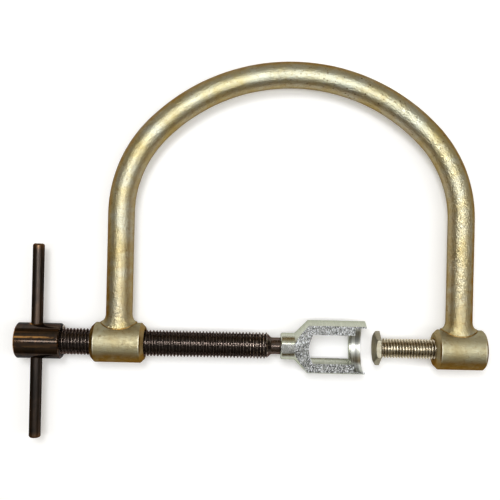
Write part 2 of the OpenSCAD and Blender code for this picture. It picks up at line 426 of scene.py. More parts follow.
def turned(profile, columns):
    """A turned surface on the X axis: each (station, radius) of a profile goes round it."""
    profile = np.asarray(profile, float)
    angle = np.linspace(0, 2 * np.pi, columns, endpoint=False)[None, :]
    station = np.repeat(profile[:, :1], columns, axis=1)
    radius = profile[:, 1:]
    return np.stack([station, radius * np.cos(angle), radius * np.sin(angle)], axis=-1)


def boss_end(face, inward, radius, hole, bevel):
    """One end of a boss's outline, from the hole out to the turned side: the flat face, the bevel
    and the side. Points on the straight lines bound the mouth, the line of painted shade and the
    edge."""
    shoulder = face + inward * bevel
    return [
        (face, hole),
        (face, hole + mouth_width),
        (face, radius - bevel),
        (shoulder - inward * shade_line_start, radius - shade_line_start),
        (shoulder - inward * shade_line_end, radius - shade_line_end),
        (shoulder, radius),
        (shoulder + inward * edge_end, radius),
    ]


def boss_profile(low, high, hole, low_bevel, high_bevel):
    """The closed outline of a boss's wall, from the hole's middle round and back to it."""
    radius = min(high.y, high.z)
    middle = ((low.x + high.x) / 2, hole)
    low_end = boss_end(low.x, 1, radius, hole, low_bevel)
    high_end = boss_end(high.x, -1, radius, hole, high_bevel)
    return eased([middle, *low_end, *reversed(high_end), middle], boss_ease)


def boss_painted_light(points, low, high, hole, low_bevel, high_bevel, low_bevel_shade, high_bevel_shade):
    """Painted shade: dark in the mouth of the hole, brown along the lower flank, and on each
    bevel by its own amount. A dark line of painted shade runs along the front where a bevel
    starts, and the turned edge beside it is a painted highlight; both fade out towards the
    flanks."""
    station = points[..., 0]
    radius = np.hypot(points[..., 1], points[..., 2])
    lean = points[..., 1] / radius
    flank = np.clip((-lean - 0.35) / 0.3, 0, 1)
    front = np.clip((0.55 - np.abs(lean)) / 0.2, 0, 1)
    mouth = np.clip(1 - (radius - hole) / mouth_width, 0, 1)
    from_low = station - low.x - low_bevel
    from_high = high.x - high_bevel - station
    high_end = np.where(from_high < -hair, high_bevel_shade, 0.0)
    bevel = np.where(from_low < -hair, low_bevel_shade, high_end)
    inward = np.minimum(from_low, from_high)
    # A line of painted shade at each bevel's start, and a painted highlight on the edge beside
    # it.
    shade_line = np.where((inward < -hair) & (inward > -shade_line_width), front, 0.0)
    wear_and_highlight = np.where((inward > -hair) & (inward < edge_width), edge_highlight * front, 0.0)
    light_and_tone_marks = np.maximum.reduce([mouth, bevel, shade_line, boss_flank_shade * flank])
    return np.where(wear_and_highlight < 0, wear_and_highlight, light_and_tone_marks)


boss_pale = (0.44, 0.43, 0.315, 1)
boss_tan = (0.36, 0.305, 0.165, 1)
boss_gold = gold_plate("boss_gold", boss_pale, boss_tan, gloss=0.53, grain=0.00016, most_pits=0.0)
screw_boss_wall = (screw_boss_low, screw_boss_high, screw_hole, wide_bevel, wide_bevel)
screw_boss_grid = turned(boss_profile(*screw_boss_wall), columns=96)
screw_boss_marks = boss_painted_light(screw_boss_grid, *screw_boss_wall, low_bevel_shade=0.95, high_bevel_shade=0.4)
screw_boss = skin("screw_boss_tube", screw_boss_grid, screw_boss_marks)
anvil_boss_wall = (anvil_boss_low, anvil_boss_high, bolt_hole, wide_bevel, small_bevel)
anvil_boss_grid = turned(boss_profile(*anvil_boss_wall), columns=96)
anvil_boss_marks = boss_painted_light(anvil_boss_grid, *anvil_boss_wall, low_bevel_shade=0.22, high_bevel_shade=0.15)
anvil_boss = skin("anvil_boss_tube", anvil_boss_grid, anvil_boss_marks)
for boss, node in ((screw_boss, "screw_boss"), (anvil_boss, "anvil_boss")):
    boss.data.materials.append(boss_gold)
    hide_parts(node)
    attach(boss, "frame")


# Weld collars
# A concave bead of weld all round each foot of the bow, ground smooth and plated with it.
# It spreads wide along the boss, stays close to the bar at front and back, and ends in a lip.
boss_radius = screw_boss_high.y
collar_rise = 0.0056
collar_top = boss_radius + collar_rise
collar_out = 0.011
collar_front = 0.0086
collar_square = 2.3
collar_sunk = 0.0001
hug_share = 0.22
hug_clearance = 0.0002
lip_height = 0.0008
lip_inset = np.array([0.0005, 0.0, 0.0001])
roll_share = 0.6
roll_outset = np.array([0.0002, 0.0, 0.0001])
toe_sunk = 0.0006
collar_bore = 0.0072
collar_floor = 0.0092
sweep_rows = 15
roll_rows = 5
fade_rows = 18
lip_share = 0.35
# Painted shade where the lip rolls over and, darker, at its toe.
roll_shade = 0.5
toe_shade = 0.85


def collar_points(leg_x, columns):
    """A closed bead round a foot. From the top, its outer side hugs the bar and sweeps out
    along a curve to a lip, then rolls over on to the boss; its inner side runs back up inside
    the bar. The lip's rim is a slightly squared oval laid on the boss's round surface."""
    angle = np.linspace(0, 2 * np.pi, columns, endpoint=False)
    ring = np.stack([np.cos(angle), np.zeros(columns), np.sin(angle)], axis=-1)
    full = np.sign(ring) * np.abs(ring) ** (2 / collar_square)
    oval = np.array([collar_out, 0, collar_front])
    up = np.array([0.0, 1.0, 0.0])
    seat = np.sqrt(boss_radius ** 2 - (collar_front * full[:, 2]) ** 2)[:, None]
    top = (bar_radius - collar_sunk) * ring + collar_top * up
    hug_height = seat + hug_share * (collar_top - seat)
    hug = (bar_radius + hug_clearance) * ring + hug_height * up
    lip = full * (oval - lip_inset) + (seat + lip_height) * up
    roll = full * (oval + roll_outset) + (seat + roll_share * lip_height) * up
    toe = full * oval + (seat - toe_sunk) * up
    sweep = np.linspace(0, 1, sweep_rows)[:, None, None]
    outer = curved(sweep, top, hug, lip)
    over = np.linspace(0, 1, roll_rows + 1)[1:, None, None]
    edge = curved(over, lip, roll, toe)
    inner_low = collar_bore * ring + collar_floor * up
    inner_high = collar_bore * ring + collar_top * up
    loop = np.concatenate([outer, edge, inner_low[None], inner_high[None]])
    return loop + np.array([leg_x, 0.0, 0.0])


def collar_shade_and_tone(points, leg_x):
    """Painted shade on the flanks like the bar above it, with the foot's light brown, both less
    towards the lip. Painted brown shade where the lip rolls over, and dark painted shade at its
    toe, where the weld meets the boss."""
    outward = (points[..., 0] - leg_x) * np.sign(leg_x - bow_x)
    row = np.arange(points.shape[0])[:, None]
    # Painted shade under the lip and in the crease at its toe.
    rolled = np.where(row >= sweep_rows, roll_shade, 0.0)
    at_toe = (row >= sweep_rows + 2) & (row <= sweep_rows + roll_rows)
    toe = np.where(at_toe, toe_shade, rolled)
    foot = foot_brown * (1 - collar_top / crown_y)
    fading = np.clip(1 - row / fade_rows, lip_share, 1)
    return np.maximum(fading * np.maximum(flank_shading(points[..., 2], outward), foot), toe)


for name, node, leg_x in (
    ("screw_boss_bead", "screw_boss_weld", left_leg_x),
    ("anvil_boss_bead", "anvil_boss_weld", right_leg_x),
):
    collar_grid = collar_points(leg_x, columns=72)
    collar_marks = collar_shade_and_tone(collar_grid, leg_x)
    bead = skin(name, collar_grid, collar_marks, close_rows=True)
    bead.data.materials.append(bar_gold)
    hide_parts(node)
    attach(bead, "frame")


# Lead screw
# A steel screw with a coarse right-hand thread, blackened in oxide and oiled. Its nose is a
# plain turned spigot that runs in the cage's hub, and its back end is fixed in the head.
screw_low, screw_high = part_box("lead_screw")
cage_low, cage_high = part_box("spring_cage")
screw_radius = screw_high.y
screw_pitch = 0.002
screw_end_bevel = 0.0012
neck_length = 0.006
neck_x = cage_low.x - neck_length
neck_fillet = 0.0003
spigot_radius = 0.005
spigot_bevel = 0.0006
thread_clearance = 0.00002
thread_depth = 0.6134
thread_crest = 0.1
thread_flank = 0.74


def thread_faces(rows, columns, steps):
    """Faces of a wound grid: the end of each row joins the start of the row one turn on."""
    number = np.arange(rows * columns).reshape(rows, columns)
    return quads(np.hstack([number[: rows - steps], number[steps:, :1]]))


def threaded(name, back_profile, front_profile, outer, pitch):
    """A right-hand thread on the X axis, between two turned ends. Each row is one line of the
    thread's profile wound round the axis: its station is the pitch times its place in the profile
    plus the turn so far, and its radius is the outer radius less the thread's depth there. The
    depth is nought along the crest, rises evenly down the flank and is held at the root. The
    radius rises from either end as fast as the station, as a bevel, and past the ends the points
    gather on their rims. The depth, as a share of the whole, is the piece's mark of painted
    light: painted shade in the roots, which also marks out the crests."""
    columns = 44
    steps = 16
    start, start_radius = back_profile[-1]
    end, end_radius = front_profile[0]
    rows = int((end - start) / pitch + 3) * steps
    row = np.arange(rows)[:, None]
    column = np.arange(columns)[None, :]
    station = start - pitch + pitch * (row / steps + column / columns)
    place = (row % steps) / steps
    from_crest = 1 - np.abs(2 * place - 1)
    depth = thread_depth * pitch * np.clip((from_crest - thread_crest) / thread_flank, 0, 1)
    lead_in = np.minimum(start_radius + (station - start), end_radius + (end - station))
    radius = np.minimum(outer - depth, lead_in)
    radius = np.where(station >= end, end_radius, radius)
    radius = np.where(station <= start, start_radius, radius)
    station = np.clip(station, start, end)
    angle = 2 * np.pi * column / columns
    wound = np.stack([station, radius * np.cos(angle), radius * np.sin(angle)], axis=-1)
    # The depth's share gives painted shade in the roots.
    light_and_tone = [np.broadcast_to(depth / depth.max(), station.shape).ravel()]
    places = [wound.reshape(-1, 3)]
    faces = [thread_faces(rows, columns, steps)]
    for profile in (back_profile, front_profile):
        ends = turned(profile, columns)
        count = len(profile)
        faces.append(quads(ringed(count, columns) + sum(len(part) for part in places)))
        places.append(ends.reshape(-1, 3))
        light_and_tone.append(np.zeros(count * columns))
    places = np.concatenate(places)
    faces = np.concatenate(faces)
    return piece_of(name, places, faces, np.concatenate(light_and_tone), crease=40)


def black_oxide(name):
    """Oiled black oxide with dry patches: painted shade in the roots, brown where it has thinned,
    and rubbed to bare metal along the crests, most of all near the nose."""
    black = (0.1, 0.082, 0.075, 1)
    brown = (0.13, 0.09, 0.07, 1)
    root = (0.075, 0.058, 0.052, 1)
    bare = (0.78, 0.66, 0.57, 1)
    material, tree, shader, place = new_finish(name)
    thin = patches(tree, place, 130, 0.45, 0.75, detail=5, rough=0.65, drawn=0.5)
    colour = painted(tree, thin, black, brown)
    # Painted shade in the thread's roots.
    colour = painted_light_and_tone(tree, place, colour, root)
    crest = graded(tree, own_light_and_tone(tree), 0.02, 0.14, 1.0, 0.0)
    along = axes_of(tree, place)["X"]
    near_nose = graded(tree, along, neck_x - 0.018, neck_x - 0.01, 0.16, 0.9)
    on_thread = graded(tree, along, neck_x - 0.0006, neck_x - 0.0002, 1.0, 0.0)
    patch = patches(tree, place, 500, 0.42, 0.6)
    rubbed = where_all(tree, crest, near_nose, on_thread, patch)
    colour = painted(tree, rubbed, colour, bare)
    matt = patches(tree, place, 560, 0.44, 0.56, 0.05, 0.3, detail=2)
    bumps = raised(tree, cloudy(tree, place, 1500, detail=2), 0.00002)
    metal(tree, shader, colour, matt, bumps, glance=(0.3, 0.25, 0.22, 1), share=0.92)
    return material


screw_back = [(screw_low.x, 0.0), (screw_low.x, screw_radius - screw_end_bevel)]
screw_front = [
    (neck_x, spigot_radius + neck_fillet),
    (neck_x + spigot_bevel, spigot_radius),
    (screw_high.x - spigot_bevel, spigot_radius),
    (screw_high.x, spigot_radius - spigot_bevel),
    (screw_high.x, 0.0),
]
screw_crest = screw_radius - thread_clearance
lead_screw = threaded("threaded_screw", screw_back, screw_front, screw_crest, screw_pitch)
lead_screw.data.materials.append(black_oxide("thread_black"))
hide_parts("lead_screw")
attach(lead_screw, "screw")


# Handle head
# A plain turned steel head screwed on to the back of the lead screw and drilled across for
# the bar. It is oxide black, with fine turning marks and a copper-brown rub round the bar.
head_low, head_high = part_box("handle_head")
tommy_low, tommy_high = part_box("tommy_bar")
head_radius = head_high.y
head_bevel = 0.0008
head_ease = 0.0004
head_recess = 0.004
cross_x = (tommy_low.x + tommy_high.x) / 2
cross_radius = tommy_high.z
# Heights and strengths of two painted reflection lines along the head's front.
reflection_lines = ((0.0031, 1.0), (-0.0026, 0.18))


def stretched(tree, place, scale, turn=0.0):
    """The coordinates stretched by a factor along each axis and turned about X."""
    node = tree.nodes.new("ShaderNodeMapping")
    feed(tree, node.inputs["Vector"], place)
    node.inputs["Scale"].default_value = scale
    node.inputs["Rotation"].default_value = (turn, 0.0, 0.0)
    return node.outputs["Vector"]


def distance(tree, first, second):
    """The distance from an axis: the root of the sum of two squares."""
    first_square = reckon(tree, "MULTIPLY", first, first)
    second_square = reckon(tree, "MULTIPLY", second, second)
    return reckon(tree, "SQRT", reckon(tree, "ADD", first_square, second_square))


def head_oxide(name):
    """The head's black oxide under a film of oil, with turning marks and brown streaks. It is
    rubbed to copper brown in a ring round the cross bar and on the outer rim, and two broken
    copper lines along the front are painted reflections."""
    black = (0.03, 0.024, 0.021, 1)
    brown = (0.085, 0.05, 0.03, 1)
    streak = (0.2, 0.105, 0.05, 1)
    copper = (0.62, 0.32, 0.11, 1)
    reflection_copper = (0.64, 0.33, 0.105, 1)
    material, tree, shader, place = new_finish(name)
    axes = axes_of(tree, place)
    thin = patches(tree, place, 150, 0.4, 0.75, 0.0, 0.7, detail=5, rough=0.65, drawn=0.4)
    colour = painted(tree, thin, black, brown)
    marks = cloudy(tree, stretched(tree, place, (2400, 40, 40)), 1.0)
    marked = graded(tree, marks, 0.5, 0.72, 0.0, 0.5)
    colour = painted(tree, marked, colour, brown)
    lengthwise = stretched(tree, place, (18, 620, 620))
    streaked = patches(tree, lengthwise, 1.0, 0.58, 0.7, 0.0, 0.9, detail=2)
    colour = painted(tree, streaked, colour, streak)
    along = reckon(tree, "SUBTRACT", axes["X"], cross_x)
    from_bar = distance(tree, along, axes["Z"])
    round_bar = graded(tree, from_bar, cross_radius + 0.0006, cross_radius + 0.0016, 1.0, 0.0)
    on_side = graded(tree, reckon(tree, "ABSOLUTE", axes["Y"]), 0.0085, 0.0095)
    rubbed = where_all(tree, round_bar, on_side)
    at_end = graded(tree, axes["X"], head_low.x + 0.0002, head_low.x + 0.0009, 0.8, 0.0)
    from_axis = distance(tree, axes["Y"], axes["Z"])
    outermost = graded(tree, from_axis, head_radius - 0.0012, head_radius - 0.0006)
    rim = where_all(tree, at_end, outermost)
    wear_and_highlight = reckon(tree, "MAXIMUM", rubbed, rim)
    wear_and_highlight = where_all(tree, wear_and_highlight, patches(tree, place, 900, 0.3, 0.55))
    colour = painted(tree, wear_and_highlight, colour, copper)
    broken = patches(tree, stretched(tree, place, (160, 700, 700)), 1.0, 0.4, 0.55)
    off_rim = graded(tree, axes["X"], head_high.x - 0.004, head_high.x - 0.002, 1.0, 0.0)
    # Two broken lines of painted reflection along the front.
    for line_y, line_share in reflection_lines:
        off_line = reckon(tree, "ABSOLUTE", reckon(tree, "SUBTRACT", axes["Y"], line_y))
        on_line = graded(tree, off_line, 0.0002, 0.0007, line_share, 0.0)
        on_line = where_all(tree, on_line, broken, off_rim)
        colour = painted(tree, on_line, colour, reflection_copper)
    matt = patches(tree, place, 600, 0.3, 0.7, 0.05, 0.1)
    grain = raised(tree, cloudy(tree, place, 1500, detail=2), 0.00002)
    bumps = raised(tree, marks, 0.00002, grain)
    metal(tree, shader, colour, matt, bumps, glance=(0.2, 0.17, 0.15, 1), share=0.9)
    shader.inputs["Coat Weight"].default_value = 0.15
    shader.inputs["Coat Roughness"].default_value = 0.06
    return material


head_corners = [
    (head_low.x, 0.0),
    (head_low.x, head_radius - head_bevel),
    (head_low.x + head_bevel, head_radius),
    (head_high.x - head_bevel, head_radius),
    (head_high.x, head_radius - head_bevel),
    (head_high.x, screw_radius),
    (head_high.x - head_recess, screw_radius),
    (head_high.x - head_recess, 0.0),
]
handle_head = skin("round_head", turned(eased(head_corners, head_ease), columns=96))
handle_head.data.materials.append(head_oxide("head_oxide"))
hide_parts("handle_head")
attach(handle_head, "screw")


# Head key
# A small steel pin driven into the joint of head and screw, which stops the head unscrewing.
# Only its end shows in the head's inner face: a dark punched middle in a burred bright ring.
key_low, key_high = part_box("head_key")
key_y = (key_low.y + key_high.y) / 2
key_radius = (key_high.y - key_low.y) / 2
key_end = key_high.x
burr_height = 0.001
burr_shoulder = 0.0008
burr_flare = 0.0005
burr_root = 0.0001
punch_edge = 0.0002
punch_wall = 0.0007
punch_depth = 0.0004
key_ease = 0.0002


def key_points(columns):
    """A pin on its own axis: a turned profile with a raised ring round a sunk middle."""
    corners = [
        (key_low.x, 0.0),
        (key_low.x, key_radius),
        (key_end, key_radius + burr_root),
        (key_end + burr_shoulder, key_radius + burr_flare),
        (key_end + burr_height, key_radius + burr_root),
        (key_end + punch_edge, key_radius - punch_wall),
        (key_end - punch_depth, 0.0),
    ]
    return turned(eased(corners, key_ease), columns) + np.array([0.0, key_y, 0.0])


def punched_steel(name):
    """Oxide black that is rubbed to bare steel where it stands proud of the head's face."""
    black = (0.008, 0.007, 0.006, 1)
    bare = (0.84, 0.76, 0.68, 1)
    material, tree, shader, place = new_finish(name)
    along = axes_of(tree, place)["X"]
    proud = graded(tree, along, key_end + 0.0001, key_end + 0.00022)
    patch = patches(tree, place, 1200, 0.3, 0.6, 0.7, 1.0)
    colour = painted(tree, where_all(tree, proud, patch), black, bare)
    matt = graded(tree, patch, 0.7, 1.0, 0.35, 0.5)
    metal(tree, shader, colour, matt)
    return material


head_key = skin("key_pin", key_points(columns=32))
head_key.data.materials.append(punched_steel("punched_steel"))
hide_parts("head_key")
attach(head_key, "screw")


# Tommy bar
# A plain round steel bar pressed through the head, so that the screw can be turned by hand.
# Its ends are rounded over, and the black oxide has worn brown towards them.
tommy_bevel = 0.0009
tommy_ease = 0.0008


def upright(points, x):
    """Stands a surface turned on the X axis along +Y at a station: x becomes y, y becomes -x."""
    return np.stack([x - points[..., 1], points[..., 0], points[..., 2]], axis=-1)


def bar_oxide(name):
    """Black oxide with brown rubs and faint lengthwise drawing lines, brown at both ends."""
    black = (0.03, 0.026, 0.024, 1)
    brown = (0.065, 0.045, 0.034, 1)
    tip_brown = (0.16, 0.09, 0.045, 1)
    material, tree, shader, place = new_finish(name)
    rubs = stretched(tree, place, (160, 60, 160))
    thin = patches(tree, rubs, 1.0, 0.4, 0.75, detail=5, rough=0.65, drawn=0.4)
    colour = painted(tree, thin, black, brown)
    reach = reckon(tree, "ABSOLUTE", axes_of(tree, place)["Y"])
    tip = graded(tree, reach, tommy_high.y - 0.004, tommy_high.y, 0.0, 0.8)
    colour = painted(tree, tip, colour, tip_brown)
    lines = cloudy(tree, stretched(tree, place, (900, 25, 900)), 1.0)
    matt = graded(tree, lines, 0.3, 0.7, 0.28, 0.42)
    grain = raised(tree, cloudy(tree, place, 1400, detail=2), 0.00003)
    bumps = raised(tree, lines, 0.00001, grain)
    metal(tree, shader, colour, matt, bumps, glance=(0.2, 0.17, 0.15, 1))
    return material


tommy_corners = [
    (tommy_low.y, 0.0),
    (tommy_low.y, cross_radius - tommy_bevel),
    (tommy_low.y + tommy_bevel, cross_radius),
    (0.0, cross_radius),
    (tommy_high.y - tommy_bevel, cross_radius),
    (tommy_high.y, cross_radius - tommy_bevel),
    (tommy_high.y, 0.0),
]
tommy_grid = turned(eased(tommy_corners, tommy_ease), columns=48)
tommy_bar = skin("cross_bar", upright(tommy_grid, cross_x))
tommy_bar.data.materials.append(bar_oxide("bar_oxide"))
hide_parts("tommy_bar")
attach(tommy_bar, "screw")


# Swivel ring
# A split ring of round spring wire, half in the spigot's groove and half in the hub's groove.
# It is shut inside the hub and keeps the cage on the screw, so the solid itself is shown.


def spring_wire(name):
    """Oiled spring steel: grey with brown temper patches and a fine grain of gloss."""
    grey = (0.3, 0.3, 0.32, 1)
    brown = (0.22, 0.17, 0.13, 1)
    material, tree, shader, place = new_finish(name)
    temper = patches(tree, place, 400, 0.35, 0.65, detail=4)
    colour = painted(tree, temper, grey, brown)
    matt = patches(tree, place, 1600, 0.3, 0.7, 0.25, 0.42)
    metal(tree, shader, colour, matt)
    return material


swivel_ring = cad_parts["swivel_ring"]
swivel_ring.data.materials.clear()
swivel_ring.data.materials.append(spring_wire("spring_wire"))


# Spring cage
# A steel cage turned with a hub and cone, drilled and counterbored from its open end, then
# milled flat on two sides so that a window opens into the bore. It is plated in bright zinc.
cage_radius = cage_high.y
cage_end = cage_high.x
cage_turn = math.radians(5.5)
flat_height = 0.0075
back_stop = -0.001
hub_end = cage_low.x
hub_radius = 0.008
hub_bevel = 0.0006
hub_length = 0.0082
cone_start = hub_end + hub_length
cone_end = cone_start + cage_radius - hub_radius
bore_radius = 0.0115
bore_depth = 0.0248
drill_half_angle = math.radians(59)
drill_point = bore_radius / math.tan(drill_half_angle)
seat_radius = 0.0152
socket_radius = 0.00505
socket_depth = 0.0086
groove_x = hub_end + socket_depth / 2
groove_half = 0.0007
groove_radius = 0.005725
cutter_reach = 0.03
cutter_overrun = 0.001
milled_matt = 0.46
seat_matt = 0.3
burr_width = 0.0002


def block(name, low, high):
    """A plain block between its lowest and its highest corner: a square ring at the bottom and
    one at the top, each closed to its middle."""
    turn = np.radians([225, 315, 45, 135])
    square = np.stack([np.cos(turn), np.sin(turn)], axis=-1) > 0
    ring = np.where(square, high[:2], low[:2])
    levels = np.array([low[2], low[2], high[2], high[2]])
    points = np.empty((4, 4, 3))
    points[..., :2] = ring
    points[..., 2] = levels[:, None]
    middle = (ring[0] + ring[2]) / 2
    points[0, :, :2] = middle
    points[3, :, :2] = middle
    return skin(name, points)


def cut_away(piece, low, high):
    """Mills a block off a piece: the block's corners are its lowest and highest point."""
    cutter = block("milled_away", low, high)
    cut = piece.modifiers.new("milled", "BOOLEAN")
    cut.operation = "DIFFERENCE"
    cut.solver = "EXACT"
    cut.object = cutter
    settled = piece.evaluated_get(bpy.context.evaluated_depsgraph_get())
    milled = bpy.data.meshes.new_from_object(settled)
    piece.modifiers.clear()
    piece.data = milled
    bpy.data.objects.remove(cutter)


def turned_round(piece, angle):
    """Turns a piece's points about the X axis."""
    count = len(piece.data.vertices)
    points = np.empty(count * 3)
    piece.data.vertices.foreach_get("co", points)
    points = points.reshape(-1, 3)
    across = points[:, 1] * math.cos(angle) - points[:, 2] * math.sin(angle)
    up = points[:, 1] * math.sin(angle) + points[:, 2] * math.cos(angle)
    moved = np.stack([points[:, 0], across, up], axis=-1)
    piece.data.vertices.foreach_set("co", moved.ravel())
    piece.data.update()


def deburred(piece, name, width, sharpest):
    """Rounds the edges of a piece that turn by more than an angle in degrees."""
    edge = piece.modifiers.new(name, "BEVEL")
    edge.width = width
    edge.segments = 2
    edge.limit_method = "ANGLE"
    edge.angle_limit = math.radians(sharpest)


def bright_zinc(name):
    """Bright zinc. Turned faces carry fine rings, strongest in the seat, which is painted paler,
    partly as a highlight. The milled flats are broken by the cutter into small facets, some
    painted bright and some dark as glints."""
    grey = (0.43, 0.45, 0.37, 1)
    pale = (0.54, 0.56, 0.475, 1)
    ring_grey = (0.3, 0.31, 0.26, 1)
    seat_pale = (0.67, 0.69, 0.655, 1)
    seat_grey = (0.34, 0.35, 0.34, 1)
    facet_dark = (0.055, 0.058, 0.06, 1)
    facet_grey = (0.37, 0.385, 0.385, 1)
    facet_bright = (0.66, 0.69, 0.74, 1)
    hub_grey = (0.25, 0.255, 0.24, 1)
    material, tree, shader, place = new_finish(name)
    level = stretched(tree, place, (1, 1, 1), -cage_turn)
    axes = axes_of(tree, level)
    height = reckon(tree, "ABSOLUTE", axes["Z"])
    off_flat = reckon(tree, "ABSOLUTE", reckon(tree, "SUBTRACT", height, flat_height))
    milled = graded(tree, off_flat, 0.00003, 0.00006, 1.0, 0.0)
    facet = cells(tree, stretched(tree, level, (1.0, 0.6, 1.0)), 2600)
    lot = tree.nodes.new("ShaderNodeSeparateColor")
    feed(tree, lot.inputs["Color"], facet["Color"])
    # Each facet's random colour, from dark to bright, is a painted glint.
    lit = graded(tree, lot.outputs["Red"], 0.1, 0.9)
    glint = painted(tree, lit, facet_dark, facet_grey)
    spark = graded(tree, lot.outputs["Green"], 0.82, 0.88)
    glint = painted(tree, spark, glint, facet_bright)
    on_hub = graded(tree, axes["X"], cone_start - 0.0005, cone_start + 0.0005, 0.6, 0.0)
    glint = painted(tree, on_hub, glint, hub_grey)
    rings = cloudy(tree, stretched(tree, place, (1500, 30, 30)), 1.0, detail=2)
    smooth = painted(tree, cloudy(tree, place, 90), grey, pale)
    ring_mark = graded(tree, rings, 0.4, 0.62, 0.0, 0.25)
    smooth = painted(tree, ring_mark, smooth, ring_grey)
    from_axis = distance(tree, axes["Y"], axes["Z"])
    inside = graded(tree, from_axis, seat_radius + 0.0001, seat_radius + 0.0002, 1.0, 0.0)
    past_floor = graded(tree, axes["X"], -0.0002, 0.0001)
    in_seat = where_all(tree, inside, past_floor)
    streak = where_all(tree, in_seat, graded(tree, rings, 0.44, 0.56))
    # The seat is painted paler, partly as a highlight.
    smooth = painted(tree, in_seat, smooth, seat_pale)
    smooth = painted(tree, streak, smooth, seat_grey)
    colour = painted(tree, milled, smooth, glint)
    matt = patches(tree, place, 500, 0.3, 0.7, 0.22, 0.34)
    on_flats = reckon(tree, "MULTIPLY", milled, milled_matt)
    matt = reckon(tree, "MAXIMUM", matt, on_flats)
    on_seat = reckon(tree, "MULTIPLY", in_seat, seat_matt)
    matt = reckon(tree, "MAXIMUM", matt, on_seat)
    not_milled = reckon(tree, "SUBTRACT", 1.0, milled)
    ring_height = reckon(tree, "MULTIPLY", rings, not_milled)
    facet_height = reckon(tree, "MULTIPLY", facet["Distance"], milled)
    ridges = raised(tree, ring_height, 0.00006)
    bumps = raised(tree, facet_height, 0.00012, ridges)
    metal(tree, shader, colour, matt, bumps, glance=(0.55, 0.57, 0.5, 1))
    return material


cage_corners = [
    (hub_end, socket_radius),
    (hub_end, hub_radius - hub_bevel),
    (hub_end + hub_bevel, hub_radius),
    (cone_start, hub_radius),
    (cone_end, cage_radius),
    (cage_end, cage_radius),
    (cage_end, seat_radius),
    (0.0, seat_radius),
    (0.0, bore_radius),
    (-bore_depth, bore_radius),
    (-bore_depth - drill_point, 0.0),
    (hub_end + socket_depth, 0.0),
    (hub_end + socket_depth, socket_radius),
    (groove_x + groove_half, socket_radius),
    (groove_x + groove_half, groove_radius),
    (groove_x - groove_half, groove_radius),
    (groove_x - groove_half, socket_radius),
]
spring_cage = skin("zinc_cage", turned(cage_corners, columns=128), close_rows=True)
cut_start = hub_end - cutter_overrun
cut_end = cage_end + cutter_overrun
front_low = (cut_start, -cutter_reach, flat_height)
front_high = (cut_end, cutter_reach, cutter_reach)
cut_away(spring_cage, front_low, front_high)
back_low = (cut_start, -cutter_reach, -cutter_reach)
back_high = (back_stop, cutter_reach, -flat_height)
cut_away(spring_cage, back_low, back_high)
turned_round(spring_cage, cage_turn)
deburred(spring_cage, "deburred", burr_width, sharpest=30)
smooth_below(spring_cage.data, crease=30)
spring_cage.data.materials.clear()
spring_cage.data.materials.append(bright_zinc("bright_zinc"))
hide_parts("spring_cage")
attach(spring_cage, "cage")


# Anvil bolt
# A fully threaded bolt with a thin hexagon head, nickel plated. Its flat head holds the valve
# while the cage presses on the spring, and it screws in and out to set the reach.
bolt_low, bolt_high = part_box("anvil_bolt")
bolt_radius = 0.006
bolt_pitch = 0.00175
bolt_root = 0.0011
bolt_tip_bevel = 0.0012
bolt_sunk = 0.001
hex_flats = 0.018
hex_thick = 0.0036
hex_turn = math.radians(28)
hex_back = bolt_low.x + hex_thick
hex_face_share = 0.94
hex_face = hex_face_share * hex_flats / 2
hex_inner_share = 0.6
hex_back_bevel = 0.0003
hex_wear = 0.00018


def hexagon_points(per_side):
    """The bolt's head as rings: a point, the round face, the bevel where a cone meets each
    flat, the back and a point again. A flat's distance from the axis is half the width
    across flats over the cosine of the angle from its middle."""
    count = 6 * per_side
    angle = np.arange(count) * 2 * np.pi / count
    from_middle = (angle % (np.pi / 3)) - np.pi / 6
    side = hex_flats / 2 / np.cos(from_middle)
    level = np.ones(count)
    nought = np.zeros(count)
    back = hex_thick * level
    face = hex_face * level
    bevel = (side - hex_face) / math.sqrt(3)
    station = np.stack([nought, nought, nought, bevel, back - hex_back_bevel, back, back])
    inner = hex_inner_share * face
    radius = np.stack([nought, inner, face, side, side, side - hex_back_bevel, nought])
    lean = angle[None, :] + hex_turn - np.pi / 2
    across = radius * np.cos(lean)
    up = radius * np.sin(lean)
    return np.stack([bolt_low.x + station, across, up], axis=-1)


def nickel(name, pale, tan, gloss, grain):
    """Warm nickel plate with a fine grain and tan stains, and painted shade in the roots of the
    thread.
    """
    root = (0.19, 0.155, 0.105, 1)
    material, tree, shader, place = new_finish(name)
    stain = patches(tree, place, 260, 0.45, 0.72, 0.0, 0.7, detail=4, rough=0.6)
    colour = painted(tree, stain, pale, tan)
    # Painted shade in the thread's roots.
    colour = painted_light_and_tone(tree, place, colour, root)
    matt = patches(tree, place, 800, 0.3, 0.7, gloss - 0.05, gloss + 0.1)
    bumps = raised(tree, cloudy(tree, place, 1300), grain)
    metal(tree, shader, colour, matt, bumps, glance=(0.5, 0.44, 0.34, 1))
    return material


bolt_back = [(hex_back - bolt_sunk, 0.0), (hex_back - bolt_sunk, bolt_radius - bolt_root)]
bolt_front = [(bolt_high.x, bolt_radius - bolt_tip_bevel), (bolt_high.x, 0.0)]
bolt_crest = bolt_radius - thread_clearance
bolt_thread = threaded("bolt_thread", bolt_back, bolt_front, bolt_crest, bolt_pitch)
bolt_pale = (0.86, 0.82, 0.69, 1)
bolt_tan = (0.62, 0.51, 0.35, 1)
bolt_nickel = nickel("bolt_nickel", bolt_pale, bolt_tan, gloss=0.26, grain=0.00002)
bolt_thread.data.materials.append(bolt_nickel)
bolt_head = skin("bolt_head", hexagon_points(per_side=10), crease=20)
